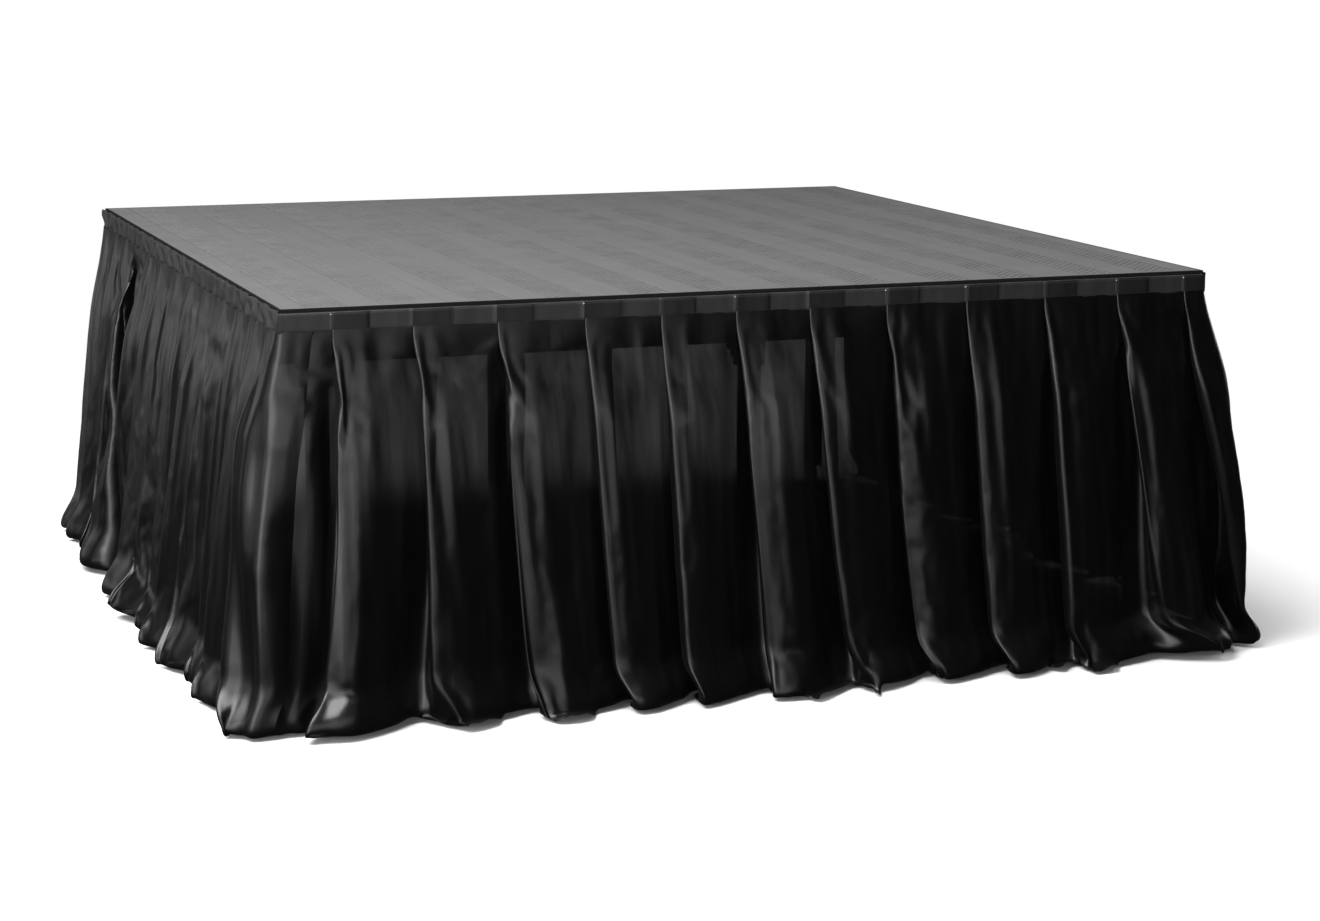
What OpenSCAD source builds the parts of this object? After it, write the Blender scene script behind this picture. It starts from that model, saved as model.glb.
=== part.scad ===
// Square stage riser platform: planked aluminium deck on six plug-in legs,
// with a pleated skirt on the front and both sides and an open rear.
// Origin: floor level, centre of the whole footprint, skirts included.
// +X runs along the front edge to the right, +Y to the rear, +Z up.

/* [Deck] */
// Width of the deck, left to right
deck_w = 2000; // [1400:10:2400]
// Depth of the deck, front to rear
deck_d = 2000; // [1400:10:2400]
// Height of the walking surface above the floor
deck_h = 820; // [600:10:1000]
// Number of planks side by side
plank_count = 6; // [4:1:8]
// Thickness of a plank
plank_t = 36; // [30:1:45]
// Wall thickness of the hollow planks
plank_wall = 3; // [2.5:0.5:4]
// Hollow cells in each plank
plank_cells = 5; // [3:1:7]
// Open joint between two planks
plank_gap = 0.8; // [0.5:0.1:2]
// Width of one ribbed anti-slip band
grip_band_w = 90; // [60:5:100]
// Width of the smooth strip between a plank's two anti-slip bands
grip_strip_w = 62; // [40:2:80]
// Spacing of the grooves in an anti-slip band
groove_pitch = 10; // [8:1:15]
// Width and depth of one groove
groove_size = 1.2; // [0.8:0.1:1.5]

/* [Frame] */
// Height of the edge beams' box section
beam_h = 70; // [60:1:90]
// Width of the edge beams' box section
beam_w = 50; // [40:1:60]
// Wall thickness of the edge beams
beam_wall = 4; // [3:0.5:5]
// Thickness of the rim that closes the plank ends and edges
rim_t = 5; // [4:0.5:8]
// Width of a cross joist
joist_w = 40; // [30:1:50]
// Wall thickness of a cross joist
joist_wall = 3; // [2.5:0.5:4]
// Distance of the outer joists from the middle joist
joist_pitch = 500; // [350:10:550]

/* [Legs] */
// Outside diameter of a leg tube
leg_od = 48.3; // [42:0.1:50]
// Wall thickness of a leg tube
leg_wall = 3; // [2.5:0.1:4]
// Radial clearance of the leg tube in its socket
leg_fit = 0.1; // [0.05:0.01:0.1]
// Side of the square socket casting
socket_size = 84; // [76:1:96]
// Length of the round sleeve below the casting
sleeve_h = 60; // [50:1:80]
// Thickness of the socket's roof, which the leg bears on
socket_roof = 10; // [6:1:14]
// Radius of the clamp screw
screw_r = 6; // [5:0.5:8]
// Radius of the clamp knob, to the middle of its lobes
knob_r = 20; // [16:1:24]
// Thickness of the clamp knob
knob_t = 18; // [14:1:24]

/* [Feet] */
// Radius of the levelling spindle
spindle_r = 8; // [6:0.5:10]
// Radial clearance of the spindle in its nut and in the foot
spindle_fit = 0.05; // [0.02:0.01:0.1]
// Height of the leg tube's lower end above the floor
leg_base_z = 62; // [55:1:80]
// Length of the nut welded into the leg's lower end
nut_h = 30; // [20:1:40]
// Radius of the foot
foot_r = 45; // [35:1:60]
// Height of the foot
foot_h = 26; // [22:1:30]

/* [Skirt] */
// Distance from the deck surface down to the top of the skirt band
lip_h = 8; // [5:1:12]
// Height of the skirt band
band_h = 38; // [25:1:50]
// Thickness of the skirt band
band_t = 3; // [2:0.5:5]
// Thickness of the loop tape that the band grips
tape_t = 1.2; // [0.8:0.1:2]
// Thickness of the slab that stands for the pleated cloth
cloth_t = 5; // [4:0.5:12]
// Distance that the hem stands out from the deck's edge
hem_out = 140; // [60:5:180]

/* [Hidden] */
NODES = [
    "deck_plank_1", "deck_plank_2", "deck_plank_3",
    "deck_plank_4", "deck_plank_5", "deck_plank_6",
    "edge_beam_front", "edge_beam_right", "edge_beam_rear", "edge_beam_left",
    "joist_front", "joist_middle", "joist_rear", "plank_clips",
    "leg_socket_front_left", "leg_socket_front_middle", "leg_socket_front_right",
    "leg_socket_rear_left", "leg_socket_rear_middle", "leg_socket_rear_right",
    "leg_tube_front_left", "leg_tube_front_middle", "leg_tube_front_right",
    "leg_tube_rear_left", "leg_tube_rear_middle", "leg_tube_rear_right",
    "clamp_knob_front_left", "clamp_knob_front_middle", "clamp_knob_front_right",
    "clamp_knob_rear_left", "clamp_knob_rear_middle", "clamp_knob_rear_right",
    "spindle_front_left", "spindle_front_middle", "spindle_front_right",
    "spindle_rear_left", "spindle_rear_middle", "spindle_rear_right",
    "foot_front_left", "foot_front_middle", "foot_front_right",
    "foot_rear_left", "foot_rear_middle", "foot_rear_right",
    "loop_tape_front", "loop_tape_right", "loop_tape_left",
    "skirt_band_front", "skirt_band_right", "skirt_band_left",
    "skirt_front", "skirt_right", "skirt_left"
];
node = "all";

$fn = 64;
// moves the deck back so that the origin is the centre of the footprint
deck_shift = hem_out / 2;

plank_bottom_z = deck_h - plank_t;
frame_bottom_z = plank_bottom_z - beam_h;
plank_pitch = (deck_w - 2 * rim_t) / plank_count;
plank_w = plank_pitch - plank_gap;
plank_l = deck_d - 2 * rim_t - plank_gap;
cell_w = (plank_w - (plank_cells + 1) * plank_wall) / plank_cells;
grooves_per_band = floor(grip_band_w / groove_pitch);

leg_r = leg_od / 2;
bore_r = leg_r + leg_fit;
sleeve_wall = 9;
sleeve_r = bore_r + sleeve_wall;
sleeve_z = frame_bottom_z - sleeve_h;
// small gap left between two faces that bear on each other
bearing_gap = 0.2;
leg_top_z = plank_bottom_z - socket_roof - bearing_gap;
leg_x = deck_w / 2 - beam_w - socket_size / 2;
leg_y = deck_d / 2 - beam_w - socket_size / 2;
// each leg: its name, its place across (left -1), and its place front to rear (front -1)
LEGS = [
    ["front_left", -1, -1], ["front_middle", 0, -1], ["front_right", 1, -1],
    ["rear_left", -1, 1], ["rear_middle", 0, 1], ["rear_right", 1, 1]
];
// the clamp knob sits half-way down the sleeve
knob_z = frame_bottom_z - sleeve_h / 2;
knob_boss_r = 13;
// how far the screw's boss stands out from the sleeve
knob_boss_out = 12;
knob_boss_end = sleeve_r + knob_boss_out;
screw_fit = 0.05;
screw_tip_gap = 0.5;
knob_lobes = 6;
knob_lobe_r = 7;
knob_gap = 2;

// the foot's rim, the ring round its hub, its hub's wall, and the floor under the spindle
foot_rim_h = 6;
foot_ring_h = 13;
foot_ring_w = 3;
foot_hub_z = 17;
foot_hub_wall = 9;
foot_floor = 8;
// length of spindle above the nut at rest
spindle_spare = 38;
spindle_top_z = leg_base_z + nut_h + spindle_spare;
hex_r = 14;
hex_gap = 8;
hex_z = foot_h + hex_gap;
hex_h = 14;

// each edge of the deck: its name, turn about Z, length, and distance from the centre
EDGES = [
    ["front", 0, deck_w, deck_d / 2], ["right", 90, deck_d, deck_w / 2],
    ["rear", 180, deck_w, deck_d / 2], ["left", -90, deck_d, deck_w / 2]
];
JOISTS = [["front", -1], ["middle", 0], ["rear", 1]];
band_top_z = deck_h - lip_h;
band_bottom_z = band_top_z - band_h;
// how far a sweep and a mitre cut run past the deck's corners
sweep_over = 300;
mitre_reach = 400;
// overlap that makes a cut or a join clean
cut = 1;

// puts a shape drawn about the deck's centre into the part's frame
module placed() {
    translate([0, deck_shift, 0]) children();
}

// puts a shape drawn along the front edge (edge line at y = 0, outwards = -Y) on an edge
module on_edge(edge) {
    placed() rotate([0, 0, edge[1]]) translate([0, -edge[3], 0]) children();
}

// sweeps a profile (x = distance inwards, y = height) along an edge
module along_edge(length) {
    rotate([90, 0, 90]) translate([0, 0, -length / 2]) linear_extrude(length) children();
}

// everything between the two corner mitres of an edge, or up to a square end
module mitre_region(length, mitre_start, mitre_end) {
    far = mitre_reach;
    start = -length / 2;
    end = length / 2;
    translate([0, 0, -far]) linear_extrude(deck_h + 2 * far) polygon([
        [mitre_start ? start - far : start, -far], [mitre_end ? end + far : end, -far],
        [mitre_end ? end - far : end, far], [mitre_start ? start + far : start, far]
    ]);
}

// a profile swept along an edge and `over` past its ends, then cut at the corner mitres
module mitred(length, over, mitre_start = true, mitre_end = true) {
    intersection() {
        along_edge(length + 2 * over) children();
        mitre_region(length, mitre_start, mitre_end);
    }
}

// a hollow extruded plank with two grooved anti-slip bands, cut square at both ends
module plank_profile() {
    difference() {
        translate([-plank_w / 2, 0]) square([plank_w, plank_t]);
        for (i = [0 : plank_cells - 1])
            translate([-plank_w / 2 + plank_wall + i * (cell_w + plank_wall), plank_wall])
                square([cell_w, plank_t - 2 * plank_wall]);
        for (side = [-1, 1])
            for (g = [0 : grooves_per_band - 1])
                translate([
                    side * (grip_strip_w / 2 + groove_pitch * (g + 0.5)) - groove_size / 2,
                    plank_t - groove_size
                ])
                    square([groove_size, groove_size + cut]);
    }
}

module deck_plank(i) {
    x = -deck_w / 2 + rim_t + plank_pitch * (i + 0.5);
    color("dimgray") placed() translate([x, plank_l / 2, plank_bottom_z])
        rotate([90, 0, 0]) linear_extrude(plank_l) plank_profile();
}

// box-section edge beam with a rim up to the walking surface
module edge_beam(edge) {
    color("#26282b") on_edge(edge) translate([0, 0, frame_bottom_z])
        mitred(edge[2], 0) difference() {
            polygon([
                [0, 0], [beam_w, 0], [beam_w, beam_h], [rim_t, beam_h],
                [rim_t, beam_h + plank_t], [0, beam_h + plank_t]
            ]);
            translate([beam_wall, beam_wall])
                square([beam_w - 2 * beam_wall, beam_h - 2 * beam_wall]);
        }
}

module joist(joist) {
    length = deck_w - 2 * beam_w;
    color("silver") placed() translate([0, joist[1] * joist_pitch, frame_bottom_z])
        along_edge(length) difference() {
            translate([-joist_w / 2, 0]) square([joist_w, beam_h]);
            translate([-joist_w / 2 + joist_wall, joist_wall])
                square([joist_w - 2 * joist_wall, beam_h - 2 * joist_wall]);
        }
}

// one angle clip per plank on every joist
module plank_clips() {
    clip_l = 40;
    clip_leg = 20;
    clip_t = 3;
    color("gainsboro") placed()
        for (j = JOISTS)
            for (i = [0 : plank_count - 1])
                translate([
                    -deck_w / 2 + rim_t + plank_pitch * (i + 0.5),
                    j[1] * joist_pitch + joist_w / 2,
                    plank_bottom_z
                ])
                    along_edge(clip_l) polygon([
                        [0, 0], [clip_leg, 0], [clip_leg, -clip_t],
                        [clip_t, -clip_t], [clip_t, -clip_leg], [0, -clip_leg]
                    ]);
}

// puts a shape drawn about a leg's axis, with its knob facing +Y, at that leg
module at_leg(leg) {
    placed() translate([leg[1] * leg_x, leg[2] * leg_y, 0])
        rotate([0, 0, leg[2] < 0 ? 0 : 180]) children();
}

// turns a shape drawn up the Z axis so that it runs along +Y at the knob's height
module along_screw() {
    translate([0, 0, knob_z]) rotate([-90, 0, 0]) children();
}

// cast socket: square block between the beams, round sleeve and screw boss below
module leg_socket(leg) {
    color("#55585c") at_leg(leg) difference() {
        union() {
            translate([-socket_size / 2, -socket_size / 2, frame_bottom_z])
                cube([socket_size, socket_size, beam_h]);
            translate([0, 0, sleeve_z]) cylinder(r = sleeve_r, h = sleeve_h + cut);
            along_screw() cylinder(r = knob_boss_r, h = knob_boss_end);
        }
        translate([0, 0, sleeve_z - cut])
            cylinder(r = bore_r, h = plank_bottom_z - socket_roof - sleeve_z + cut);
        along_screw() cylinder(r = screw_r + screw_fit, h = knob_boss_end + cut);
    }
}

// round tube with a threaded nut welded into its lower end
module leg_tube(leg) {
    color("silver") at_leg(leg) translate([0, 0, leg_base_z]) difference() {
        cylinder(r = leg_r, h = leg_top_z - leg_base_z);
        translate([0, 0, nut_h])
            cylinder(r = leg_r - leg_wall, h = leg_top_z - leg_base_z);
        translate([0, 0, -cut]) cylinder(r = spindle_r + spindle_fit, h = nut_h + 2 * cut);
    }
}

// six-lobed grip on its clamp screw
module clamp_knob(leg) {
    grip_y = knob_boss_end + knob_gap;
    color("#1b1b1b") at_leg(leg) along_screw() union() {
        translate([0, 0, leg_r + screw_tip_gap])
            cylinder(r = screw_r, h = grip_y - leg_r - screw_tip_gap + cut);
        translate([0, 0, grip_y]) linear_extrude(knob_t) union() {
            circle(r = knob_r);
            for (a = [0 : 360 / knob_lobes : 359])
                rotate(a) translate([knob_r, 0]) circle(r = knob_lobe_r, $fn = 32);
        }
    }
}

// threaded spindle with a hexagon for the spanner
module spindle(leg) {
    color("gainsboro") at_leg(leg) union() {
        translate([0, 0, foot_floor + bearing_gap])
            cylinder(r = spindle_r, h = spindle_top_z - foot_floor - bearing_gap);
        translate([0, 0, hex_z]) cylinder(r = hex_r, h = hex_h, $fn = 6);
    }
}

// round foot that the spindle turns in
module foot(leg) {
    hub_r = spindle_r + foot_hub_wall;
    color("#202020") at_leg(leg) rotate_extrude() polygon([
        [0, 0], [foot_r, 0], [foot_r, foot_rim_h], [hub_r + foot_ring_w, foot_ring_h],
        [hub_r, foot_hub_z], [hub_r, foot_h],
        [spindle_r + spindle_fit, foot_h], [spindle_r + spindle_fit, foot_floor],
        [0, foot_floor]
    ]);
}

// the side edges' tape, band and cloth are mitred at the front corner, square at the rear
module skirt_sweep(edge) {
    mitred(edge[2], sweep_over, edge[0] != "left", edge[0] != "right") children();
}

module loop_tape(edge) {
    color("#111111") on_edge(edge) skirt_sweep(edge)
        translate([-tape_t, band_bottom_z]) square([tape_t, band_h]);
}

module skirt_band(edge) {
    color("#0d0d0e") on_edge(edge) skirt_sweep(edge)
        translate([-tape_t - band_t, band_bottom_z]) square([band_t, band_h]);
}

// slab in the place of the pleated cloth, from under the band down to the floor
module skirt(edge) {
    color("#0a0a0b") on_edge(edge) skirt_sweep(edge) polygon([
        [-tape_t, band_bottom_z], [-tape_t - cloth_t, band_bottom_z],
        [-hem_out, 0], [-hem_out + cloth_t, 0]
    ]);
}

// true when the node called `name` is to be drawn
function wanted(name) = node == "all" || node == name;

for (i = [0 : plank_count - 1])
    if (wanted(str("deck_plank_", i + 1))) deck_plank(i);
for (edge = EDGES)
    if (wanted(str("edge_beam_", edge[0]))) edge_beam(edge);
for (j = JOISTS)
    if (wanted(str("joist_", j[0]))) joist(j);
if (wanted("plank_clips")) plank_clips();
for (leg = LEGS) {
    if (wanted(str("leg_socket_", leg[0]))) leg_socket(leg);
    if (wanted(str("leg_tube_", leg[0]))) leg_tube(leg);
    if (wanted(str("clamp_knob_", leg[0]))) clamp_knob(leg);
    if (wanted(str("spindle_", leg[0]))) spindle(leg);
    if (wanted(str("foot_", leg[0]))) foot(leg);
}
for (edge = EDGES) if (edge[0] != "rear") {
    if (wanted(str("loop_tape_", edge[0]))) loop_tape(edge);
    if (wanted(str("skirt_band_", edge[0]))) skirt_band(edge);
    if (wanted(str("skirt_", edge[0]))) skirt(edge);
}
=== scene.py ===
"""A square stage riser: planked anti-slip deck, black edge beams, pleated satin skirt."""

import math

import bpy
import numpy as np
from mathutils import Matrix, Vector

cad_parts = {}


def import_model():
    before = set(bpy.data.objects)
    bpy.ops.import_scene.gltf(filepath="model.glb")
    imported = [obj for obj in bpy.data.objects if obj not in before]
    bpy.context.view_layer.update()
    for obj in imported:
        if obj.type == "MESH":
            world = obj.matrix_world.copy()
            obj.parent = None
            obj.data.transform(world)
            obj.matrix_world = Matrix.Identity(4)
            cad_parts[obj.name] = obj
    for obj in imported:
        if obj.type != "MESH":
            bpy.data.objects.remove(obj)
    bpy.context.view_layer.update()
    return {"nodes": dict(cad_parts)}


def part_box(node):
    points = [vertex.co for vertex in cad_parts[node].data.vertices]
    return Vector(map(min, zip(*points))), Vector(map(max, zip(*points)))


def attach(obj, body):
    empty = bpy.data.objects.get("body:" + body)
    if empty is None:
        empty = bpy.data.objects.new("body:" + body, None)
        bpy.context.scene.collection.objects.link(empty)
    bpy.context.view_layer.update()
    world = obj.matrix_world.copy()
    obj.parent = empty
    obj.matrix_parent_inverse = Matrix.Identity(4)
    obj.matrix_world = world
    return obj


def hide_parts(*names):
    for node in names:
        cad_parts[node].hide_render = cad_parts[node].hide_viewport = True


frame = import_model()
rng = np.random.default_rng(11)

# ---------------------------------------------------------------- places taken from the frame
beam_front_low, beam_front_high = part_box("edge_beam_front")
_, beam_rear_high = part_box("edge_beam_rear")
DECK_X0, DECK_X1 = beam_front_low.x, beam_front_high.x
DECK_Y0, DECK_Y1 = beam_front_low.y, beam_rear_high.y
DECK_W, DECK_D = DECK_X1 - DECK_X0, DECK_Y1 - DECK_Y0
DECK_Z = beam_front_high.z
band_low, band_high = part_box("skirt_band_front")
tape_low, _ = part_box("loop_tape_front")
BAND_TOP, BAND_BOTTOM = band_high.z, band_low.z
TAPE_OUT = beam_front_low.y - tape_low.y
BAND_OUT = beam_front_low.y - band_low.y
SIDES = ("left", "front", "right")


def smooth(t):
    """0 to 1 with level ends, for a number or an array."""
    t = np.clip(t, 0.0, 1.0)
    return t * t * (3 - 2 * t)


def square(half):
    """The corners of a level square on the floor, centred on the origin."""
    return [(-half, -half, 0), (half, -half, 0), (half, half, 0), (-half, half, 0)]


# ---------------------------------------------------------------- materials
class Nodes:
    """A short way to build one material's node tree."""

    # a Mix node's sockets: first input, second input and output, for colours and for numbers
    COLOUR_A, COLOUR_B, COLOUR_OUT = 6, 7, 2
    NUMBER_A, NUMBER_B, NUMBER_OUT = 2, 3, 0

    def __init__(self, name):
        self.material = bpy.data.materials.new(name)
        self.material.use_nodes = True
        self.tree = self.material.node_tree
        self.shader = self.tree.nodes["Principled BSDF"]
        self.place = self.add("ShaderNodeTexCoord").outputs["Object"]

    def add(self, kind, **settings):
        made = self.tree.nodes.new(kind)
        for key, value in settings.items():
            setattr(made, key, value)
        return made

    def link(self, output, target):
        self.tree.links.new(output, target)

    def scaled(self, scale):
        mapping = self.add("ShaderNodeMapping")
        mapping.inputs["Scale"].default_value = scale
        self.link(self.place, mapping.inputs["Vector"])
        return mapping.outputs["Vector"]

    def noise(self, scale, detail=3.0, roughness=0.55):
        made = self.add("ShaderNodeTexNoise")
        made.inputs["Scale"].default_value = 1.0
        made.inputs["Detail"].default_value = detail
        made.inputs["Roughness"].default_value = roughness
        self.link(self.scaled(scale), made.inputs["Vector"])
        return made.outputs["Fac"]

    def waves(self, scale):
        """Slanting bands, for a weave or a twist."""
        made = self.add("ShaderNodeTexWave", bands_direction="DIAGONAL")
        made.inputs["Scale"].default_value = 1.0
        made.inputs["Distortion"].default_value = 0.4
        self.link(self.scaled(scale), made.inputs["Vector"])
        return made.outputs["Fac"]

    def ramp(self, value, stops):
        made = self.add("ShaderNodeValToRGB")
        elements = made.color_ramp.elements
        while len(elements) < len(stops):
            elements.new(0.5)
        for element, (at, colour) in zip(elements, stops):
            element.position = at
            element.color = (*colour, 1.0)
        self.link(value, made.inputs["Fac"])
        return made.outputs["Color"]

    def span(self, value, low, high):
        made = self.add("ShaderNodeMapRange")
        made.inputs["To Min"].default_value = low
        made.inputs["To Max"].default_value = high
        self.link(value, made.inputs["Value"])
        return made.outputs["Result"]

    def bump(self, height, strength, distance, after=None):
        made = self.add("ShaderNodeBump")
        made.inputs["Strength"].default_value = strength
        made.inputs["Distance"].default_value = distance
        self.link(height, made.inputs["Height"])
        if after is not None:
            self.link(after, made.inputs["Normal"])
        self.link(made.outputs["Normal"], self.shader.inputs["Normal"])
        return made.outputs["Normal"]

    def edge_wear(self, colour, worn, amount):
        """Lightens a metal where its edges are convex."""
        geometry = self.add("ShaderNodeNewGeometry")
        mask = self.ramp(geometry.outputs["Pointiness"], [(0.52, (0, 0, 0)), (0.60, (amount,) * 3)])
        mix = self.add("ShaderNodeMix", data_type="RGBA")
        self.link(mask, mix.inputs["Factor"])
        self.link(colour, mix.inputs[self.COLOUR_A])
        mix.inputs[self.COLOUR_B].default_value = (*worn, 1.0)
        return mix.outputs[self.COLOUR_OUT]

    def set(self, **values):
        for key, value in values.items():
            self.shader.inputs[key.replace("_", " ")].default_value = value


def grey(level):
    return (level, level, level * 1.02)


def metal(name, dark, light, roughness, stretch, wear=0.5):
    """Aluminium or steel with drawn grain along `stretch`, dulled patches and bright worn edges."""
    n = Nodes(name)
    grain = n.noise(stretch, detail=5.0)
    patches = n.noise((6, 6, 6), detail=4.0)
    colour = n.ramp(patches, [(0.3, grey(dark)), (0.7, grey(light))])
    n.link(n.edge_wear(colour, grey(min(1.0, light * 1.5)), wear), n.shader.inputs["Base Color"])
    n.link(n.span(grain, roughness - 0.07, roughness + 0.1), n.shader.inputs["Roughness"])
    n.bump(grain, 0.25, 0.0004)
    n.set(Metallic=0.9)
    return n.material


def deck_metal():
    """Grey anodised deck: drawn lines front to rear, scuffs across and a fine tooth."""
    n = Nodes("deck_anodised")
    drawn = n.noise((260, 1.5, 260), detail=4.0)
    scuffs = n.noise((9, 26, 9), detail=6.0, roughness=0.7)
    mix = n.add("ShaderNodeMix", data_type="FLOAT")
    mix.inputs["Factor"].default_value = 0.45
    n.link(drawn, mix.inputs[n.NUMBER_A])
    n.link(scuffs, mix.inputs[n.NUMBER_B])
    blend = mix.outputs[n.NUMBER_OUT]
    warm = (0.122, 0.120, 0.117)
    colour = n.ramp(blend, [(0.30, grey(0.088)), (0.52, grey(0.102)), (0.72, warm)])
    n.link(colour, n.shader.inputs["Base Color"])
    n.link(n.span(scuffs, 0.50, 0.66), n.shader.inputs["Roughness"])
    tooth = n.noise((900, 900, 900), detail=2.0)
    n.bump(tooth, 0.15, 0.0003, after=n.bump(drawn, 0.2, 0.0004))
    n.set(Metallic=0.0, Specular_IOR_Level=0.2)
    return n.material


def black_metal():
    n = Nodes("edge_black_anodised")
    patches = n.noise((5, 5, 30), detail=5.0)
    colour = n.ramp(patches, [(0.3, grey(0.003)), (0.75, grey(0.007))])
    n.link(n.edge_wear(colour, grey(0.014), 0.5), n.shader.inputs["Base Color"])
    n.link(n.span(patches, 0.40, 0.55), n.shader.inputs["Roughness"])
    n.bump(n.noise((700, 700, 700)), 0.1, 0.0002)
    n.set(Specular_IOR_Level=0.08)
    return n.material


def moulded_plastic(name, level):
    n = Nodes(name)
    grain = n.noise((420, 420, 420), detail=2.0)
    colour = n.ramp(n.noise((14, 14, 14)), [(0.3, grey(level * 0.8)), (0.7, grey(level * 1.25))])
    n.link(colour, n.shader.inputs["Base Color"])
    n.link(n.span(grain, 0.45, 0.62), n.shader.inputs["Roughness"])
    n.bump(grain, 0.35, 0.0005)
    return n.material


def foot_rubber():
    n = Nodes("foot_rubber")
    dust = n.noise((25, 25, 60), detail=6.0, roughness=0.7)
    colour = n.ramp(dust, [(0.42, grey(0.018)), (0.70, (0.075, 0.072, 0.068))])
    n.link(colour, n.shader.inputs["Base Color"])
    n.link(n.span(dust, 0.62, 0.85), n.shader.inputs["Roughness"])
    n.bump(dust, 0.3, 0.0006)
    return n.material


def tape_pile():
    n = Nodes("loop_pile")
    pile = n.noise((1500, 1500, 1500), detail=2.0)
    n.link(n.ramp(pile, [(0.35, grey(0.008)), (0.65, grey(0.035))]), n.shader.inputs["Base Color"])
    n.bump(pile, 0.9, 0.0008)
    n.set(Roughness=0.9, Sheen_Weight=0.4, Sheen_Roughness=0.5)
    return n.material


ALPHA_STREAK = 0.028


def satin(name, dark, light, alpha, roughness=(0.27, 0.36)):
    """Black satin: a fine slanting weave, slubs down the cloth, a soft sheen, a little see-through."""
    n = Nodes(name)
    slub = n.noise((60, 60, 7), detail=4.0)
    weave = n.waves((620, 620, 900))
    colour = n.ramp(slub, [(0.3, grey(dark)), (0.7, grey(light))])
    n.link(colour, n.shader.inputs["Base Color"])
    n.link(n.span(slub, *roughness), n.shader.inputs["Roughness"])
    n.bump(weave, 0.12, 0.00025, after=n.bump(slub, 0.25, 0.0012))
    n.set(Specular_IOR_Level=0.5, Sheen_Weight=0.008, Sheen_Roughness=0.4)
    if alpha < 1:
        streaks = n.noise((26, 26, 1.5), detail=3.0)
        n.link(n.span(streaks, alpha - ALPHA_STREAK, alpha + ALPHA_STREAK), n.shader.inputs["Alpha"])
    return n.material


def thread():
    n = Nodes("black_thread")
    twist = n.waves((900, 900, 900))
    n.link(n.ramp(twist, [(0.2, grey(0.03)), (0.8, grey(0.075))]), n.shader.inputs["Base Color"])
    n.bump(twist, 0.5, 0.0003)
    n.set(Roughness=0.5)
    return n.material


DECK = deck_metal()
# the bars' sloping sides get a darker grey than the deck: painted shade
PAINTED_SHADE_FLANK = moulded_plastic("deck_bar_flanks_painted_shade", 0.066)
EDGE = black_metal()
MILL = metal("mill_aluminium", 0.50, 0.68, 0.36, (3, 300, 300))
CAST = metal("cast_aluminium", 0.30, 0.42, 0.55, (90, 90, 90), wear=0.7)
TUBE = metal("leg_tube_aluminium", 0.55, 0.72, 0.30, (220, 220, 3))
ZINC = metal("zinc_plated_steel", 0.42, 0.60, 0.30, (50, 50, 700))
KNOB = moulded_plastic("knob_plastic", 0.02)
FOOT = foot_rubber()
PILE = tape_pile()
SATIN = satin("skirt_satin", 0.0006, 0.0014, 0.985)
# the band's satin in two copies of one cloth: the lighter is painted light over single cloth, the darker
# is painted shade where folded layers lie
BAND_PAINTED_LIGHT = satin("band_satin_single_painted_light", 0.011, 0.018, 1.0, (0.45, 0.58))
BAND_PAINTED_SHADE = satin("band_satin_layered_painted_shade", 0.003, 0.006, 1.0, (0.45, 0.58))
THREAD = thread()

NODE_LOOKS = {
    "deck_plank": DECK, "edge_beam": EDGE, "joist": MILL, "plank_clips": MILL,
    "leg_socket": CAST, "leg_tube": TUBE, "clamp_knob": KNOB, "spindle": ZINC,
    "foot": FOOT, "loop_tape": PILE,
}


def dress_cad_nodes():
    for name, node in frame["nodes"].items():
        for prefix, material in NODE_LOOKS.items():
            if name.startswith(prefix):
                node.data.materials.clear()
                node.data.materials.append(material)


dress_cad_nodes()


# ---------------------------------------------------------------- mesh helpers
def new_piece(name, vertices, faces, material, shade_smooth=True):
    mesh = bpy.data.meshes.new(name)
    mesh.from_pydata([tuple(v) for v in vertices], [], [tuple(f) for f in faces])
    mesh.materials.append(material)
    mesh.polygons.foreach_set("use_smooth", [shade_smooth] * len(mesh.polygons))
    mesh.update()
    piece = bpy.data.objects.new(name, mesh)
    bpy.context.scene.collection.objects.link(piece)
    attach(piece, "platform")
    return piece


def grid_faces(rows, columns):
    """Quads of a grid of points stored row by row."""
    r, c = np.meshgrid(np.arange(rows - 1), np.arange(columns - 1), indexing="ij")
    a = (r * columns + c).ravel()
    return np.stack([a, a + 1, a + columns + 1, a + columns], 1)


def repeated(shape, faces, centres):
    """The same small solid at many places: its vertices and faces, all in one mesh."""
    shape, faces, centres = np.asarray(shape), np.asarray(faces), np.asarray(centres)
    vertices = (centres[:, None, :] + shape[None]).reshape(-1, 3)
    shift = (np.arange(len(centres)) * len(shape))[:, None, None]
    return vertices, (faces[None] + shift).reshape(-1, faces.shape[1])


# ---------------------------------------------------------------- deck: raised anti-slip bars
PLANKS = 6
GRIP_BAND_W = 0.090
GRIP_STRIP_W = 0.062
GROOVE_PITCH = 0.010
BAR_LENGTH, BAR_WIDTH, BAR_HEIGHT = 0.0088, 0.0064, 0.0014
BAR_PITCH = 0.022
BAR_SINK = 0.0002
# a bar's top as a share of its base, and where its row starts on every other land
BAR_TOP_LENGTH, BAR_TOP_WIDTH = 0.7, 0.45
BAR_STAGGER = (0.25, 0.75)
# which faces of a bar take the darker flank material, painted shade: the four slopes, not the top or the
# underside
BAR_PAINTED_SHADE_FACES = [1, 1, 1, 1, 0, 0]


def bar_shape():
    """A low bar across the plank with sloping sides, sunk a little into it."""
    x, y = BAR_LENGTH / 2, BAR_WIDTH / 2
    base = [(-x, -y, -BAR_SINK), (x, -y, -BAR_SINK), (x, y, -BAR_SINK), (-x, y, -BAR_SINK)]
    crown = [(px * BAR_TOP_LENGTH, py * BAR_TOP_WIDTH, BAR_HEIGHT) for px, py, _ in base]
    faces = [(0, 1, 5, 4), (1, 2, 6, 5), (2, 3, 7, 6), (3, 0, 4, 7), (4, 5, 6, 7), (3, 2, 1, 0)]
    return base + crown, faces


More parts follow.
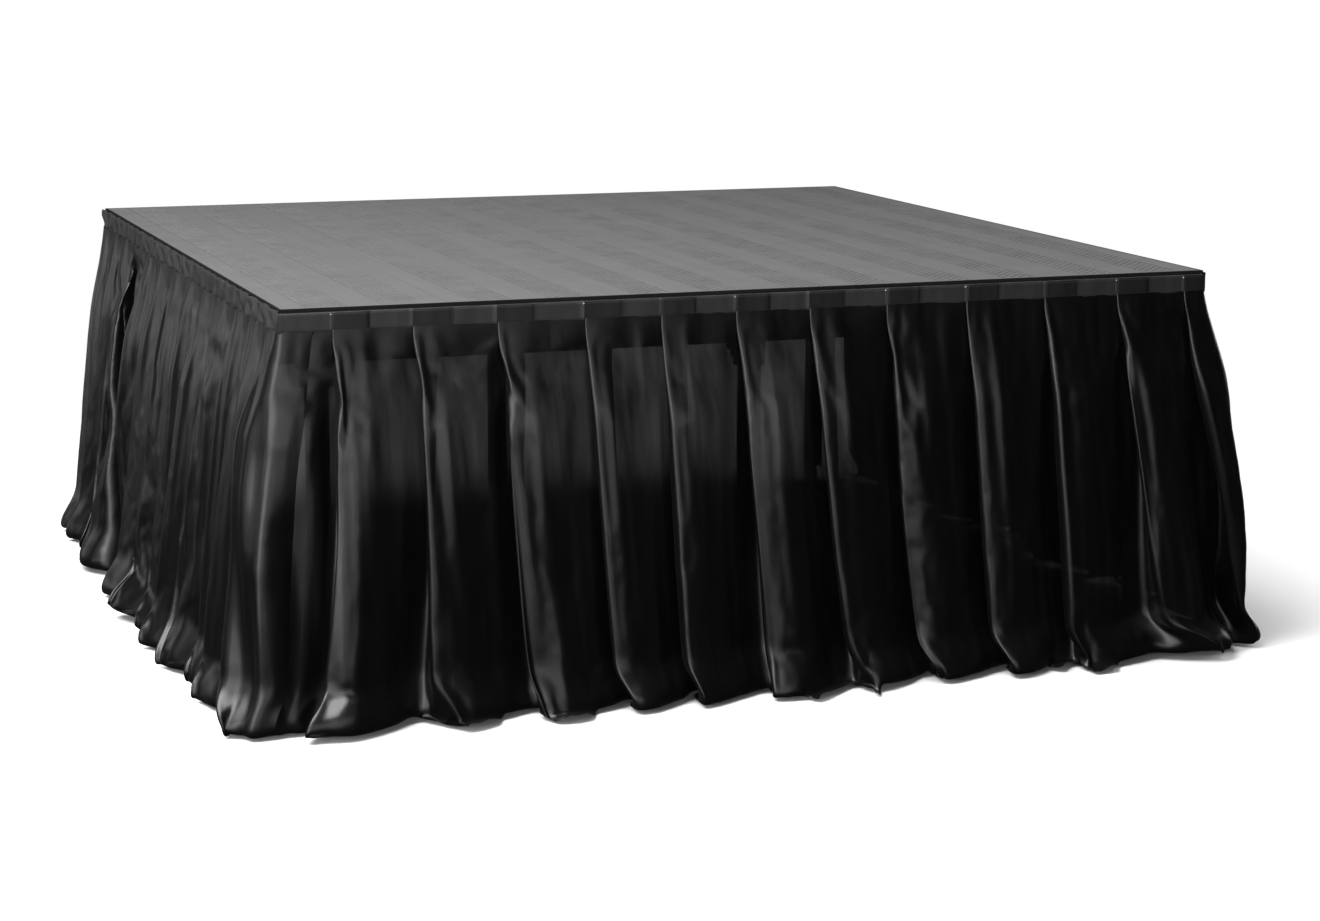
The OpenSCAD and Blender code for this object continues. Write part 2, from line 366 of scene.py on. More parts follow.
def grip_bars(number):
    low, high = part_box(f"deck_plank_{number}")
    middle = (low.x + high.x) / 2
    lands = int(GRIP_BAND_W / GROOVE_PITCH) - 1
    centres = []
    for side in (-1, 1):
        for land in range(lands):
            x = middle + side * (GRIP_STRIP_W / 2 + GROOVE_PITCH * (land + 1))
            start = low.y + BAR_PITCH * BAR_STAGGER[land % 2]
            for y in np.arange(start + BAR_PITCH / 2, high.y - BAR_PITCH / 2, BAR_PITCH):
                centres.append((x, y, high.z))
    shape, bar_faces = bar_shape()
    vertices, faces = repeated(shape, bar_faces, centres)
    piece = new_piece(f"grip_bars_{number}", vertices, faces, DECK, False)
    # second slot: the darker flank grey, painted shade on the bars' slopes
    piece.data.materials.append(PAINTED_SHADE_FLANK)
    piece.data.polygons.foreach_set("material_index", np.array(BAR_PAINTED_SHADE_FACES * len(centres)))


for plank_number in range(1, PLANKS + 1):
    grip_bars(plank_number)


# ---------------------------------------------------------------- skirt: the pleated sheet
PLEATS_PER_SIDE = 12
PLEAT_PITCH = DECK_W / PLEATS_PER_SIDE
OVERLAP = 0.076
PATH_LENGTH = 2 * DECK_D + DECK_W
CORNERS = (DECK_D, DECK_D + DECK_W)
CLOTH_LENGTH = 0.815
SAMPLES = 24
ROWS = 56
FLOOR_GAP = 0.003

# each front fold: its place along the front, and how far it wanders to the right on its way down
FRONT_FOLDS = (
    (0.10, -0.02), (0.26, 0.02), (0.43, 0.06), (0.61, 0.04), (0.77, 0.02), (0.93, 0.06),
    (1.09, 0.06), (1.26, 0.06), (1.44, 0.04), (1.62, 0.03), (1.79, 0.10), (1.95, 0.06),
)
# the side folds keep an even pitch from their first place, each shaken a little
SIDE_FOLD_START, SIDE_SHAKE = 0.10, 0.012
# how far a fold's foot hooks sideways, and over which last part of the drop
HOOK, HOOK_START, HOOK_FADE = 0.040, 0.84, 0.12
# the hollow's place at the band and at the floor, its half width, and how deep and how far back it goes
VALLEY_TOP, VALLEY_FOOT, VALLEY_HALF = 0.46, 0.65, 0.044
VALLEY_DEPTH, VALLEY_UNDERCUT = 0.100, 0.055
# beside each fold the front layer rises a little before it turns flat: how steeply and how far
FRONT_SHOULDER, SIDE_SHOULDER = 0.17, 0.06
SHOULDER_REACH, SHOULDER_FADE = 0.014, 0.034
# a fold's rounding at the band, and how much wider it gets towards the floor
NOSE_AT_BAND, NOSE_GROWTH = 0.014, 0.070
SIDE_PUFF, CORNER_PUFF, CORNER_REACH = 0.62, 0.7, 0.12
# (place from the rear left corner, width, extra stand-off at the floor) of the broad lobes
LOBES = (
    (0.02, 0.22, -0.010), (0.54, 0.08, 0.045), (1.06, 0.20, 0.035), (1.50, 0.12, 0.025),
    (2.00, 0.16, 0.026), (2.62, 0.14, 0.015), (3.05, 0.12, 0.020), (3.90, 0.16, 0.030),
    (4.50, 0.15, 0.030), (5.15, 0.18, 0.040), (5.72, 0.14, 0.020),
)
LOBE_GROWTH = 1.6
# creases at the two front corners: place, creases a metre and phase, then their depth and reach
CORNER_CREASES = ((CORNERS[0], 17.0, 0.4), (CORNERS[1], 15.0, 1.9))
CREASE_DEPTH, CREASE_REACH = 0.0070, 0.11
# how the pleats are solved: samples of a pleat, steps, largest change a step, least determinant
SOLVE_SAMPLES, SOLVE_STEPS, SOLVE_CHANGE, SOLVE_LEAST = 90, 12, 0.15, 1e-5
BACK_LIMITS, TURN_LIMITS = (-0.1, 1.2), (0.3, math.pi + 0.1)
FIRST_BACK, FIRST_TURN = 0.02, 3.05
# the hang: the hem's stand-off, the tuck behind the band, and how early the foot starts to turn
HEM_STAND_OFF, TOP_INSET, TOP_LAP, FOOT_EARLY = 0.040, 0.001, 0.004, 0.016
FLOOR_TURN, SPREAD_TURN, SWELL_TURN = 1.50, 1.45, 0.45
STEPS_PER_ROW = 6
TABLE_MARGIN, TABLE_SAMPLES = 0.2, 3000


def fold_places():
    """Where each pleat's folded edge sits along the band, and how far it wanders on its way down."""
    side_folds = [(SIDE_FOLD_START + PLEAT_PITCH * k, 0.0) for k in range(PLEATS_PER_SIDE)]
    stretches = (
        (0.0, side_folds, SIDE_SHAKE),
        (CORNERS[0], FRONT_FOLDS, 0.0),
        (CORNERS[1], side_folds, SIDE_SHAKE),
    )
    folds = [(0.0, 0.0)]
    for start, wanted, shake in stretches:
        for place, lean in wanted:
            lean += rng.normal(0, 2 * shake)
            folds.append((start + place + rng.normal(0, 1) * shake, lean))
    folds[-1] = (PATH_LENGTH - OVERLAP, 0.0)
    places, leans = np.array(folds).T
    return places, leans


def plateau(s, nose, hidden, hidden_turn, flat, shoulder):
    """0 on a pleat's front layer and 1 on its middle layer, with a smooth turn at each fold."""
    rise = smooth((s - hidden) / hidden_turn + 0.5)
    fall = smooth((flat - s) / nose + 0.5)
    start = 1 - smooth(s / nose + 0.5)
    beside = smooth(2 * s / nose) * (1 - smooth((s - nose / 2 - SHOULDER_REACH) / SHOULDER_FADE))
    return np.clip(rise * fall + start + shoulder * beside, 0, 1)


def solve_pleats(width, nose, hidden, hidden_turn, flat, shoulder, guess):
    """Turn angles for which each pleat keeps its cloth: it fills its width and ends where it began."""
    s = np.linspace(0, 1, SOLVE_SAMPLES)[None] * flat[:, None]
    ds = s[:, 1:2]
    shape = plateau(s, nose[:, None], hidden[:, None], hidden_turn, flat[:, None], shoulder[:, None])
    back, turn = guess
    for _ in range(SOLVE_STEPS):
        angle = -back[:, None] + (turn + back)[:, None] * shape
        cos, sin = np.cos(angle), np.sin(angle)
        weight = np.ones(s.shape[1])
        weight[[0, -1]] = 0.5
        weight = weight * ds
        miss_x, miss_d = (cos * weight).sum(1) - width, (sin * weight).sum(1)
        xb, db = (-sin * (shape - 1) * weight).sum(1), (cos * (shape - 1) * weight).sum(1)
        xt, dt = (-sin * shape * weight).sum(1), (cos * shape * weight).sum(1)
        det = xb * dt - xt * db
        det = np.where(np.abs(det) < SOLVE_LEAST, SOLVE_LEAST, det)
        back = back - np.clip((miss_x * dt - miss_d * xt) / det, -SOLVE_CHANGE, SOLVE_CHANGE)
        turn = turn - np.clip((miss_d * xb - miss_x * db) / det, -SOLVE_CHANGE, SOLVE_CHANGE)
        back, turn = np.clip(back, *BACK_LIMITS), np.clip(turn, *TURN_LIMITS)
    angle = -back[:, None] + (turn + back)[:, None] * shape
    x = np.cumsum(np.cos(angle) * ds, 1) - np.cos(angle[:, :1]) * ds
    d = np.cumsum(np.sin(angle) * ds, 1) - np.sin(angle[:, :1]) * ds
    share = np.linspace(0, 1, s.shape[1])[None]
    x += (width - x[:, -1])[:, None] * share
    d -= d[:, -1:] * share
    return x, d - d.min(1, keepdims=True), (back, turn)


def lobes(place, v):
    """Extra stand-off: broad swells that grow towards the floor."""
    total = np.zeros_like(place)
    for centre, half, swell in LOBES:
        total += swell * np.exp(-((place - centre) / half) ** 2)
    return total * v ** LOBE_GROWTH


def valley(place, v):
    """One deep hollow on the left side: how far its cloth goes in, and how far it leans to the rear."""
    across = place - (VALLEY_TOP + (VALLEY_FOOT - VALLEY_TOP) * v)
    share = np.exp(-(across / VALLEY_HALF) ** 4) * smooth((v - 0.02) / 0.14)
    return VALLEY_DEPTH * share, VALLEY_UNDERCUT * share


def tuck_share(place):
    """1 where the hem turns in under the cloth, 0 where it spreads outwards on the floor."""
    wander = 0.62 + 0.25 * np.sin(9.5 * place + 0.6) + 0.2 * np.sin(23.0 * place + 2.0)
    past_left = smooth((place - CORNERS[0] + 0.1) / 0.2)
    before_right = 1 - smooth((place - CORNERS[1]) / 0.2)
    wander = wander + 0.48 * (1 - past_left * before_right)
    for end in (0.0, CORNERS[1], PATH_LENGTH):
        wander = wander + 1.2 * np.exp(-((place - end) / 0.16) ** 2)
    return np.clip(wander, 0, 1)


def hang_tables(place):
    """How far out and how high each row hangs: down from the band, then in or out at the floor."""
    hem_out = HEM_STAND_OFF + lobes(place, 1.0)
    start = BAND_OUT - TOP_INSET
    drop = BAND_BOTTOM + TOP_LAP
    slope = np.hypot(hem_out - start, drop)
    lean_out = np.arctan2(hem_out - start, drop)
    tuck = tuck_share(place)
    foot = slope - FOOT_EARLY
    out, high = np.full_like(place, start), np.full_like(place, drop)
    outs, highs = [out], [high]
    step = CLOTH_LENGTH / (ROWS * STEPS_PER_ROW)
    for k in range(ROWS * STEPS_PER_ROW):
        at = (k + 0.5) * step
        spread = SPREAD_TURN * smooth((at - foot) / 0.050)
        swell = SWELL_TURN * (smooth((at - foot + 0.10) / 0.05) - smooth((at - foot + 0.03) / 0.04))
        under = -FLOOR_TURN * smooth((at - foot) / 0.045)
        angle = lean_out + (1 - tuck) * spread + tuck * (swell + under)
        angle = np.where(high <= FLOOR_GAP, np.where(angle > 0, FLOOR_TURN, -FLOOR_TURN), angle)
        out = out + np.sin(angle) * step
        high = np.maximum(high - np.cos(angle) * step, FLOOR_GAP)
        if (k + 1) % STEPS_PER_ROW == 0:
            outs.append(out)
            highs.append(high)
    return np.array(outs), np.array(highs)


def corner_turn(place, spread):
    """The outward direction's angle: 0 on the left side, a quarter turn more past each corner."""
    return sum(math.pi / 2 * smooth((place - corner + spread) / (2 * spread)) for corner in CORNERS)


def edge_point(place):
    """The point of the deck's edge at a place along the left, front and right sides."""
    knots = [-1.0, 0.0, CORNERS[0], CORNERS[1], PATH_LENGTH, PATH_LENGTH + 1]
    xs = [DECK_X0, DECK_X0, DECK_X0, DECK_X1, DECK_X1, DECK_X1]
    ys = [DECK_Y1 + 1, DECK_Y1, DECK_Y0, DECK_Y0, DECK_Y1, DECK_Y1 + 1]
    return np.interp(place, knots, xs), np.interp(place, knots, ys)


def ripples(flat_at, v, waves):
    """Shallow creases that run down the cloth, and small gathers just under the band."""
    total = np.zeros_like(flat_at)
    for cycles, phase, drift, amplitude, slow, slow_phase in waves["long"]:
        envelope = 0.5 + 0.5 * np.sin(slow * flat_at + slow_phase + 2.2 * v)
        total += amplitude * envelope * np.sin(2 * math.pi * cycles * flat_at + phase + drift * v)
    total *= float(smooth(v * 3)) * (1 - 0.4 * v)
    gathers = np.zeros_like(flat_at)
    for cycles, phase, drift, amplitude, slow, slow_phase in waves["short"]:
        envelope = np.clip(np.sin(slow * flat_at + slow_phase), 0, 1)
        gathers += amplitude * envelope * np.sin(2 * math.pi * cycles * flat_at + phase + drift * v)
    return total + gathers * float(smooth(v * 25) * (1 - smooth(v * 6 - 0.2)))


def corner_creases(place, v):
    """Creases that fan out from the two front corners."""
    total = np.zeros_like(place)
    for corner, cycles, phase in CORNER_CREASES:
        near = np.exp(-((place - corner) / CREASE_REACH) ** 2)
        wave = np.sin(2 * math.pi * cycles * (place - corner) + phase + 1.2 * v)
        slant = np.sin(2 * math.pi * 0.6 * cycles * (place - corner) - 9.0 * v + 1.0)
        fine = np.sin(2 * math.pi * 2.3 * cycles * (place - corner) + 2.0)
        total += near * (wave + slant + 0.5 * fine)
    return CREASE_DEPTH * total * float(smooth(v * 2.2))


def drag_folds(share, v, marks):
    """One or two soft folds that start at the band on each front layer and die out half way down."""
    total = np.zeros((len(marks), share.shape[1]))
    for across, width, rise, reach in marks.transpose(1, 2, 0):
        fade = smooth(v / 0.10) * (1 - smooth((v - 0.25) / reach))
        total += (rise * fade)[:, None] * np.exp(-((share - across[:, None]) / width[:, None]) ** 2)
    return total


def drag_marks(count):
    first = [rng.uniform(0.10, 0.26, count), rng.uniform(0.030, 0.055, count),
             rng.uniform(0.002, 0.007, count), rng.uniform(0.2, 0.6, count)]
    second = [rng.uniform(0.32, 0.46, count), rng.uniform(0.025, 0.045, count),
              rng.uniform(-0.006, 0.006, count), rng.uniform(0.2, 0.5, count)]
    return np.array([first, second]).transpose(2, 0, 1)


def wave_set(cycles, amplitude, drift):
    return [(c * rng.uniform(0.9, 1.1), rng.uniform(0, 6.3), rng.normal(0, drift), amplitude,
             rng.uniform(1.5, 4.0), rng.uniform(0, 6.3)) for c in cycles]


def pleat_samples():
    """Where a pleat's columns lie along its cloth: closer together near its folded edge."""
    even = np.arange(SAMPLES) / SAMPLES
    return (even - 0.22 * np.sin(2 * math.pi * even) / (2 * math.pi))[None]


def pleated_sheet():
    """The sheet's points in rows from band to hem, its columns' places and its folds' places."""
    edges, lean = fold_places()
    count = len(edges) - 1
    pitch = np.diff(edges)
    flat = pitch + 2 * OVERLAP
    puff = rng.uniform(0.80, 1.15, count)
    bulge = rng.uniform(0, 1, count) ** 2 * 0.012
    waves = {"long": wave_set((9, 13, 19, 27), 0.0015, 1.5), "short": wave_set((38, 55), 0.0016, 3.0)}
    table = np.linspace(-TABLE_MARGIN, PATH_LENGTH + TABLE_MARGIN, TABLE_SAMPLES)
    share = pleat_samples()
    fine = np.linspace(0, 1, SOLVE_SAMPLES)
    flat_start = np.concatenate([[0], np.cumsum(flat)[:-1]])
    flat_at = (flat_start[:, None] + flat[:, None] * share).ravel()
    places = (edges[:-1, None] + pitch[:, None] * share).ravel()
    guess = (np.full(count, FIRST_BACK), np.full(count, FIRST_TURN))
    hang_out, hang_high = hang_tables(table)
    marks = drag_marks(count)
    hook = HOOK * rng.uniform(0.3, 1.2, count) * np.where(rng.uniform(0, 1, count) < 0.2, -0.6, 1)
    on_front = (edges[:-1] > CORNERS[0]) & (edges[:-1] < CORNERS[1])
    by_corner = (np.abs(edges[:-1] - CORNERS[0]) < CORNER_REACH) & ~on_front
    shoulder = np.where(on_front, FRONT_SHOULDER, SIDE_SHOULDER) * ~by_corner
    far_corner = np.abs(edges[:-1] - CORNERS[1]) < CORNER_REACH
    puff = puff * np.where(on_front, 1.0, SIDE_PUFF) * np.where(by_corner | far_corner, CORNER_PUFF, 1.0)
    rows = []
    for r in range(ROWS + 1):
        v = r / ROWS
        opening = v ** 0.9
        spread = 0.012 + 0.20 * v
        out_table = hang_out[r]
        turn_table = corner_turn(table, spread)
        metric = table + np.concatenate([[0], np.cumsum(np.diff(turn_table) * out_table[1:])])
        knots = np.interp(edges + lean * v ** 1.3, table, metric)
        width = np.diff(knots)
        nose = NOSE_AT_BAND + NOSE_GROWTH * v ** 0.45 * puff
        hidden = pitch + OVERLAP * (1 - 0.20 * opening)
        hidden_turn = 0.010 + 0.050 * opening
        x, d, guess = solve_pleats(width, nose, hidden, hidden_turn, flat, shoulder, guess)
        x = np.stack([np.interp(share[0], fine, row) for row in x])
        d = np.stack([np.interp(share[0], fine, row) for row in d])
        d = d * (0.62 + 0.38 * v) * smooth(0.14 + v * 3.2)
        layer = np.clip(share * flat[:, None] / pitch[:, None], 0, 2)
        d = d + bulge[:, None] * v * np.exp(-((share - 0.50) / 0.045) ** 2)
        d = d + 0.0016 * (1 - smooth(v * 4)) * (1 - smooth((layer - 0.35) / 0.3))
        near_nose = np.exp(-((share + 0.02) / 0.10) ** 2) + np.exp(-((share - 0.96) / 0.12) ** 2)
        swing = hook[:, None] * (share < 0.5) + np.roll(hook, -1)[:, None] * (share >= 0.5)
        x = x + swing * near_nose * smooth((v - HOOK_START) / HOOK_FADE)
        across = (knots[:-1, None] + x).ravel()
        place = np.interp(across, metric, table)
        out, high = np.interp(place, table, out_table), np.interp(place, table, hang_high[r])
        d = d + drag_folds(share, v, marks)
        calm = 0.4 + 0.6 * smooth((place - CORNERS[0] + 0.35) / 0.3)
        inward, undercut = valley(place, v)
        depth = d.ravel() + calm * ripples(flat_at, v, waves) + corner_creases(place, v) - inward
        psi = corner_turn(place, spread)
        ex, ey = edge_point(place - undercut)
        stand = out + depth
        rows.append(np.column_stack([ex - np.cos(psi) * stand, ey - np.sin(psi) * stand, high]))
    return np.array(rows), places, edges


# ---------------------------------------------------------------- skirt: the short cloth simulation
SETTLE_FRAMES = 14
PINNED_ROWS = 2
EASED_ROWS, EASED_HOLD = 9, 0.5
GROUND_HALF = 3.0


def settle(points):
    """Lets the sheet hang and crumple on the floor for a moment, held at the band."""
    rows, columns = points.shape[:2]
    mesh = bpy.data.meshes.new("settling")
    mesh.from_pydata(points.reshape(-1, 3).tolist(), [], grid_faces(rows, columns).tolist())
    sheet = bpy.data.objects.new("settling", mesh)
    ground_mesh = bpy.data.meshes.new("settling_ground")
    ground_mesh.from_pydata(square(GROUND_HALF), [], [(0, 1, 2, 3)])
    ground = bpy.data.objects.new("settling_ground", ground_mesh)
    for made in (sheet, ground):
        bpy.context.scene.collection.objects.link(made)
    ground.modifiers.new("collision", "COLLISION")
    ground.collision.cloth_friction = 60
    ground.collision.thickness_outer = 0.003
    held = sheet.vertex_groups.new(name="held")
    for row in range(EASED_ROWS):
        ease = 1 - (row - PINNED_ROWS) / (EASED_ROWS - PINNED_ROWS)
        weight = 1.0 if row < PINNED_ROWS else EASED_HOLD * ease ** 2
        held.add(list(range(row * columns, (row + 1) * columns)), weight, "REPLACE")
    cloth = sheet.modifiers.new("cloth", "CLOTH")
    rules = cloth.settings
    rules.quality = 6
    rules.mass = 0.0002
    rules.vertex_group_mass = "held"
    rules.tension_stiffness = rules.compression_stiffness = 15
    rules.shear_stiffness = 5
    rules.bending_stiffness = 0.02
    rules.tension_damping = rules.compression_damping = 5
    rules.bending_damping = 0.5
    rules.air_damping = 2.0
    cloth.collision_settings.distance_min = 0.003
    cloth.collision_settings.collision_quality = 2
    cloth.collision_settings.use_self_collision = True
    cloth.collision_settings.self_distance_min = 0.0022
    cloth.point_cache.frame_start = 1
    cloth.point_cache.frame_end = SETTLE_FRAMES
    scene = bpy.context.scene
    for step in range(1, SETTLE_FRAMES + 1):
        scene.frame_set(step)
    settled = np.empty(rows * columns * 3)
    shape = sheet.evaluated_get(bpy.context.evaluated_depsgraph_get())
    shape.data.vertices.foreach_get("co", settled)
    for made in (sheet, ground):
        bpy.data.objects.remove(made)
    scene.frame_set(1)
    settled = settled.reshape(points.shape)
    settled[..., 2] = np.maximum(settled[..., 2], FLOOR_GAP / 3)
    return settled


sheet_rows, sheet_places, fold_edges = pleated_sheet()


# ---------------------------------------------------------------- band: pleat layers, stitches and pins
LAYER_PROUD = 0.0009
EDGE_STEP = 0.0006
BAND_CELL = 0.012
BAND_RISE = {"left": 0.006, "front": 0.0, "right": 0.004}
BAND_CRUMPLE = {"left": 0.0055, "front": 0.0006, "right": 0.0012}
HEM_ROLL, HEM_BACK = 0.0012, 0.0028
FACE_STEPS = 6
STITCH_LENGTH, STITCH_PITCH, STITCH_WIDTH = 0.0034, 0.0048, 0.00035
STITCH_INSET, STITCH_LIFT = 0.0045, 0.4
PIN_RADIUS, PIN_DROP = 0.0013, 0.005
PINNED_FOLDS = [0, 3, 5, 7, 8, 10, 11]


def side_range(side):
    low = {"left": 0.0, "front": CORNERS[0], "right": CORNERS[1]}[side]
    return low, low + (DECK_W if side == "front" else DECK_D)


def folded_under(place):
    """Whether a pleat's folded layers lie under the band at a place."""
    fold = np.clip(np.searchsorted(fold_edges, place, side="right") - 1, 0, None)
    return place - fold_edges[fold] < OVERLAP


def band_face(place, height, side, waves):
    """How far the band's face stands out: proud over a folded pleat, and slightly crumpled."""
    crumple = np.zeros_like(place)
    for cycles, phase, drift, _, slow, slow_phase in waves:
        wave = np.sin(2 * math.pi * cycles * place + phase + 60 * drift * height)
        crumple += wave * np.sin(slow * place + slow_phase)
    return BAND_OUT + LAYER_PROUD * folded_under(place) + BAND_CRUMPLE[side] * crumple * 0.5


def stand_off(place, out, height):
    """A point at a place along the sides, a distance out from the deck's edge and a height."""
    psi = corner_turn(place, 0.004)
    ex, ey = edge_point(place)
    return np.column_stack([ex - np.cos(psi) * out, ey - np.sin(psi) * out, height])


def band_columns(side):
    """Places across one band: even cells, and a close pair wherever a folded layer starts or ends."""
    low, high = side_range(side)
    places = list(np.arange(low, high, BAND_CELL)) + [high]
    for edge in fold_edges:
        for step in (edge, edge + OVERLAP):
            if low + 0.01 < step < high - 0.01:
                places += [step - EDGE_STEP, step + EDGE_STEP]
    return np.unique(np.round(places, 5))


def band_strip(side):
    places = band_columns(side)
    top, bottom = BAND_TOP + BAND_RISE[side], BAND_BOTTOM
    profile = [(bottom + HEM_ROLL, -HEM_BACK), (bottom, -HEM_ROLL), (bottom + HEM_ROLL, 0.0)]
    for k in range(1, FACE_STEPS + 1):
        profile.append((bottom + HEM_ROLL + (top - bottom - 2 * HEM_ROLL) * k / FACE_STEPS, 0.0))
    profile += [(top, -HEM_ROLL), (top - HEM_ROLL, -HEM_BACK)]
    rows = []
    for height, back in profile:
        face = band_face(places, height, side, band_waves)
        rows.append(stand_off(places, np.maximum(face + back, TAPE_OUT), np.full(len(places), height)))
    strip = np.array(rows)
    faces = grid_faces(len(profile), len(places))
    points = strip.reshape(-1, 3)
    piece = new_piece(f"skirt_band_satin_{side}", points, faces, BAND_PAINTED_LIGHT)
    piece.data.materials.append(BAND_PAINTED_SHADE)
    middles = (places[:-1] + places[1:]) / 2
    # cells over folded layers on the front and right take the darker copy: painted shade
    painted_shade_cells = np.tile(folded_under(middles).astype(int) * (side != "left"), len(profile) - 1)
    piece.data.polygons.foreach_set("material_index", painted_shade_cells)
    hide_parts(f"skirt_band_{side}")


def stitch_shape(run):
    """A short flat-ended thread lying along `run`."""
    along, across = np.array([run[0], run[1], 0.0]), np.array([run[1], -run[0], 0.0])
    up = np.array([0, 0, 1.0])
    corners = []
    for end in (-0.5, 0.5):
        for side, rise in ((-1, -1), (1, -1), (1, 1), (-1, 1)):
            middle = along * end * STITCH_LENGTH
            corners.append(middle + (across * side + up * rise) * STITCH_WIDTH / 2)
    faces = [(0, 1, 2, 3), (7, 6, 5, 4), (0, 4, 5, 1), (1, 5, 6, 2), (2, 6, 7, 3), (3, 7, 4, 0)]
    return np.array(corners), faces


def band_stitches(side):
    low, high = side_range(side)
    places = np.arange(low + 0.01, high - 0.01, STITCH_PITCH)
    centres = []
    for height in (BAND_BOTTOM + STITCH_INSET, BAND_TOP + BAND_RISE[side] - STITCH_INSET):
        face = band_face(places, height, side, band_waves)
        out = face + STITCH_WIDTH * STITCH_LIFT
        centres.append(stand_off(places, out, np.full(len(places), height)))
    run = (1, 0) if side == "front" else (0, 1)
    vertices, faces = repeated(*stitch_shape(run), np.concatenate(centres))
    new_piece(f"band_stitches_{side}", vertices, faces, THREAD, False)


def ball(radius, around, up):
    """A sphere as a closed grid of quads."""
    points = []
    for j in range(up + 1):
        tilt = math.pi * (j + 0.02) / (up + 0.04)
        for i in range(around):
            turn = 2 * math.pi * i / around
            ring = math.sin(tilt) * radius
            points.append((ring * math.cos(turn), ring * math.sin(turn), math.cos(tilt) * radius))
    faces = []
    for j in range(up):
        for i in range(around):
            k = (i + 1) % around
            faces.append((j * around + i, j * around + k, (j + 1) * around + k, (j + 1) * around + i))
    return points, faces


def pins():
    """Small round pin heads at the top of some front folds."""
    vertices, faces = ball(PIN_RADIUS, around=10, up=7)
    on_front = fold_edges[(fold_edges > CORNERS[0]) & (fold_edges < CORNERS[1])]
    chosen = on_front[PINNED_FOLDS]
    height = np.full(len(chosen), BAND_TOP - PIN_DROP)
    centres = stand_off(chosen, np.full(len(chosen), BAND_OUT + LAYER_PROUD + PIN_RADIUS * 0.5), height)
    vertices, faces = repeated(vertices, faces, centres)
    new_piece("pleat_pins", vertices, faces, ZINC)


band_waves = wave_set((11, 17, 29, 41), 1.0, 1.6)
for band_side in SIDES:
    band_strip(band_side)
    band_stitches(band_side)
pins()

sheet_rows = settle(sheet_rows)


def side_columns(side):
    """The sheet's columns that belong to one side; neighbours share the column at the corner."""
    low, high = side_range(side)
    first = 0 if side == "left" else int(np.searchsorted(sheet_places, low))
    last = len(sheet_places) if side == "right" else int(np.searchsorted(sheet_places, high)) + 1
    return slice(first, last)


def skirt_piece(side):
    part = sheet_rows[:, side_columns(side)]
    rows, columns = part.shape[:2]
    faces = grid_faces(rows, columns)
    piece = new_piece(f"satin_skirt_{side}", part.reshape(-1, 3), faces, SATIN)
    rounding = piece.modifiers.new("rounding", "SUBSURF")
    rounding.levels = rounding.render_levels = 1
    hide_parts(f"skirt_{side}")


for skirt_side in SIDES:
    skirt_piece(skirt_side)


# ---------------------------------------------------------------- floor, light and camera
FLOOR_HALF = 14.0
FLOOR_FADE = (1.9, 3.2)
ROOM_STRENGTH = 0.02


def floor():
    """A white floor that fades out far from the object, so the horizon doesn't show."""
    n = Nodes("pale_floor")
    n.set(Base_Color=(0.93, 0.93, 0.93, 1.0), Roughness=0.9, Specular_IOR_Level=0.1)
    far = n.add("ShaderNodeVectorMath", operation="LENGTH")
    n.link(n.place, far.inputs[0])
    fade = n.add("ShaderNodeMapRange")
    fade.inputs["From Min"].default_value = FLOOR_FADE[0]
    fade.inputs["From Max"].default_value = FLOOR_FADE[1]
    fade.inputs["To Min"].default_value = 1.0
    fade.inputs["To Max"].default_value = 0.0
    n.link(far.outputs["Value"], fade.inputs["Value"])
    n.link(fade.outputs["Result"], n.shader.inputs["Alpha"])
    mesh = bpy.data.meshes.new("floor")
    mesh.from_pydata(square(FLOOR_HALF), [], [(0, 1, 2, 3)])
    mesh.materials.append(n.material)
    plane = bpy.data.objects.new("floor", mesh)
    bpy.context.scene.collection.objects.link(plane)
    plane.visible_glossy = False


def world():
    """White to the eye, dim to everything that reflects it."""
    made = bpy.data.worlds.new("studio")
    bpy.context.scene.world = made
    made.use_nodes = True
    tree = made.node_tree
    tree.nodes.clear()
    output = tree.nodes.new("ShaderNodeOutputWorld")
    seen = tree.nodes.new("ShaderNodeBackground")
    seen.inputs["Color"].default_value = (1, 1, 1, 1)
    room = tree.nodes.new("ShaderNodeBackground")
    room.inputs["Color"].default_value = (1, 1, 1, 1)
    room.inputs["Strength"].default_value = ROOM_STRENGTH
    path = tree.nodes.new("ShaderNodeLightPath")
    mix = tree.nodes.new("ShaderNodeMixShader")
    tree.links.new(path.outputs["Is Camera Ray"], mix.inputs["Fac"])
    tree.links.new(room.outputs[0], mix.inputs[1])
    tree.links.new(seen.outputs[0], mix.inputs[2])
    tree.links.new(mix.outputs[0], output.inputs["Surface"])


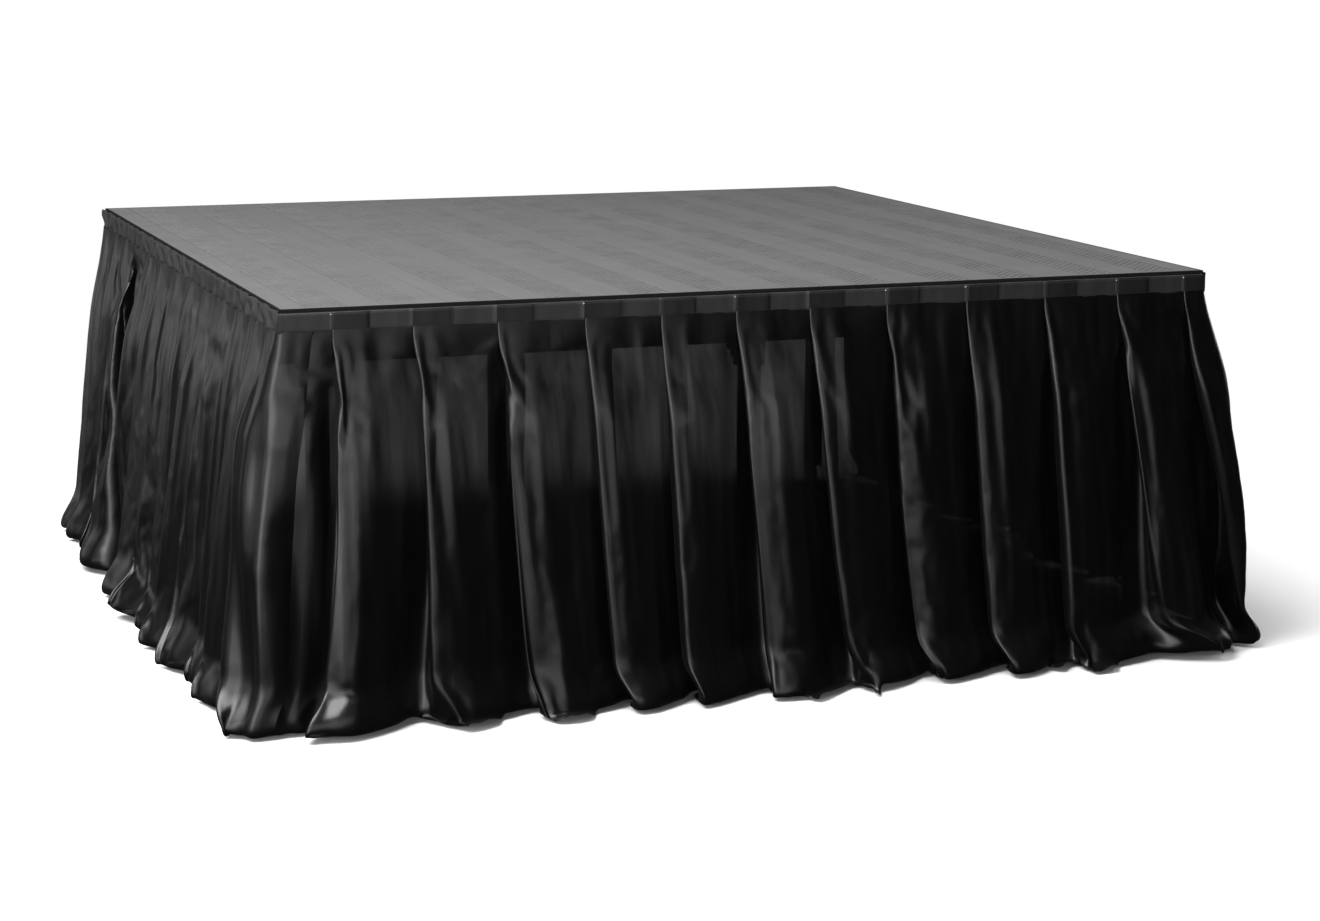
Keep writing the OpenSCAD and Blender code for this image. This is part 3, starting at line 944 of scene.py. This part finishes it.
def area_light(name, place, aim, size, power):
    data = bpy.data.lights.new(name, "AREA")
    data.shape = "RECTANGLE"
    data.size, data.size_y = size
    data.energy = power
    lamp = bpy.data.objects.new(name, data)
    lamp.location = place
    lamp.rotation_euler = (Vector(aim) - Vector(place)).to_track_quat("-Z", "Y").to_euler()
    bpy.context.scene.collection.objects.link(lamp)
    lamp.visible_camera = False
    return lamp


def lights():
    area_light("top", (-2.8, -1.4, 4.5), (-1.0, -1.0, 0), (4.5, 5.0), 720)
    right_low = area_light("right_low", (4.9, -0.8, 2.3), (2.3, -0.8, 0), (2.2, 5.0), 150)
    right_low.visible_glossy = False
    area_light("front", (-1.6, -7.0, 1.7), (0.2, -0.6, 0.4), (5.6, 2.4), 86)
    area_light("front_left", (-5.0, -4.4, 1.7), (0, -0.4, 0.4), (4.0, 2.4), 152)
    area_light("left", (-6.4, -0.6, 1.5), (-0.5, -0.4, 0.4), (3.6, 2.4), 25)
    area_light("right", (5.8, 2.4, 1.7), (1.0, 0.4, 0.4), (3.6, 2.2), 60)
    area_light("back_left", (-4.6, 5.4, 1.0), (-0.8, 0, 0.3), (3.5, 1.8), 14)


def camera():
    """Placed in deck widths from the deck's near left corner; the lens is in the photograph's pixels."""
    across, back, up = -0.6057, -2.7558, 0.3822
    turn, dip, tilt = math.radians(19.8), math.radians(10.66), math.radians(0.22)
    focal_length, frame_width = 2963.0, 1320.0
    data = bpy.data.cameras.new("camera")
    data.sensor_width = 36.0
    data.lens = data.sensor_width * focal_length / frame_width
    data.clip_end = 60.0
    made = bpy.data.objects.new("camera", data)
    bpy.context.scene.collection.objects.link(made)
    forward = Vector((math.sin(turn) * math.cos(dip), math.cos(turn) * math.cos(dip), -math.sin(dip)))
    level = Vector((math.cos(turn), -math.sin(turn), 0))
    right = level * math.cos(tilt) + level.cross(forward) * math.sin(tilt)
    rise = right.cross(forward)
    pose = Matrix((right, rise, -forward)).transposed().to_4x4()
    pose.translation = Vector((DECK_X0, DECK_Y0, DECK_Z)) + DECK_W * Vector((across, back, up))
    made.matrix_world = pose
    bpy.context.scene.camera = made


floor()
world()
lights()
camera()
bpy.context.scene.view_settings.view_transform = "Standard"
